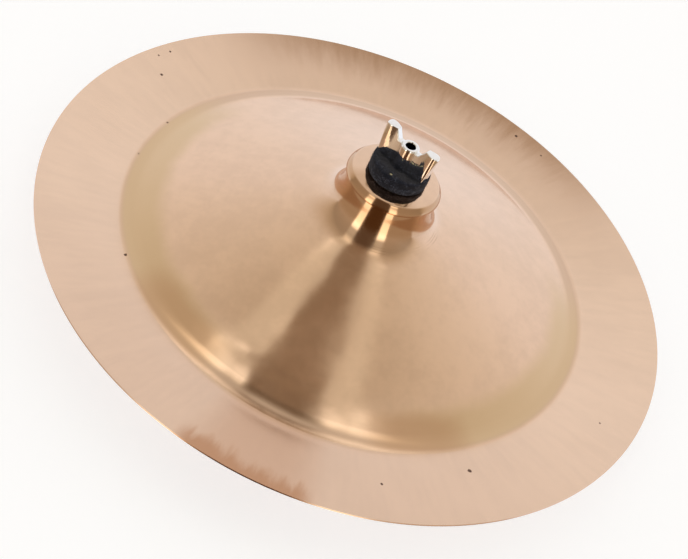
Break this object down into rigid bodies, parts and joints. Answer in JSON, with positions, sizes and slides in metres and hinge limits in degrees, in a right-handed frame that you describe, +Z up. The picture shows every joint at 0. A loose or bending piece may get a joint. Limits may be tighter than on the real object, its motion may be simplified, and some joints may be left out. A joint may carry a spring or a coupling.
{
  "type": "china cymbal",
  "caption": "China cymbal with a handle-shaped bell and an upturned flange, clamped between two felts on a threaded stud by a wing nut.",
  "frame": {"origin": "on the cymbal's axis, in the plane that the crease ring rests on", "axes": "+Z up through the bell along the stud; +X and +Y lie in the resting plane, and the nut's wings are turned 22 degrees from +X towards -Y"},
  "size_m": [0.4576, 0.4576, 0.108],
  "materials": {
    "bronze": "hammered and brushed B20 bronze with a light patina",
    "steel": "zinc plated",
    "nylon": "moulded",
    "felt": "pressed wool felt, charcoal",
    "chrome": "polished"
  },
  "bodies": {
    "stud": {"stud": "steel", "seat_washer": "steel", "sleeve": "nylon"},
    "lower_felt": {"lower_felt": "felt"},
    "cymbal": {"cymbal": "bronze"},
    "upper_felt": {"upper_felt": "felt"},
    "wing_nut": {"wing_nut": "chrome"}
  },
  "joints": [
    {"name": "spin", "type": "hinge", "parent": "stud", "child": "lower_felt", "pos_m": [0, 0, 0.067], "axis": [0, 0, 1], "continuous": true},
    {"name": "rock", "type": "hinge", "parent": "lower_felt", "child": "cymbal", "pos_m": [0, 0, 0.0753], "axis": [1, 0, 0], "range_deg": [-8, 8], "stiffness_Nm_per_rad": 2.5, "deforming": ["lower_felt", "upper_felt"]},
    {"name": "felt_rise", "type": "slide", "parent": "stud", "child": "upper_felt", "axis": [0, 0, 1], "range_m": [0, 0.005], "deforming": ["upper_felt"]},
    {"name": "nut_turn", "type": "hinge", "parent": "upper_felt", "child": "wing_nut", "pos_m": [0, 0, 0.085], "axis": [0, 0, 1], "range_deg": [0, 1440]}
  ],
  "couplings": [
    {"joint": "nut_turn", "follows": "felt_rise", "rad_per_m": 5026.5}
  ]
}
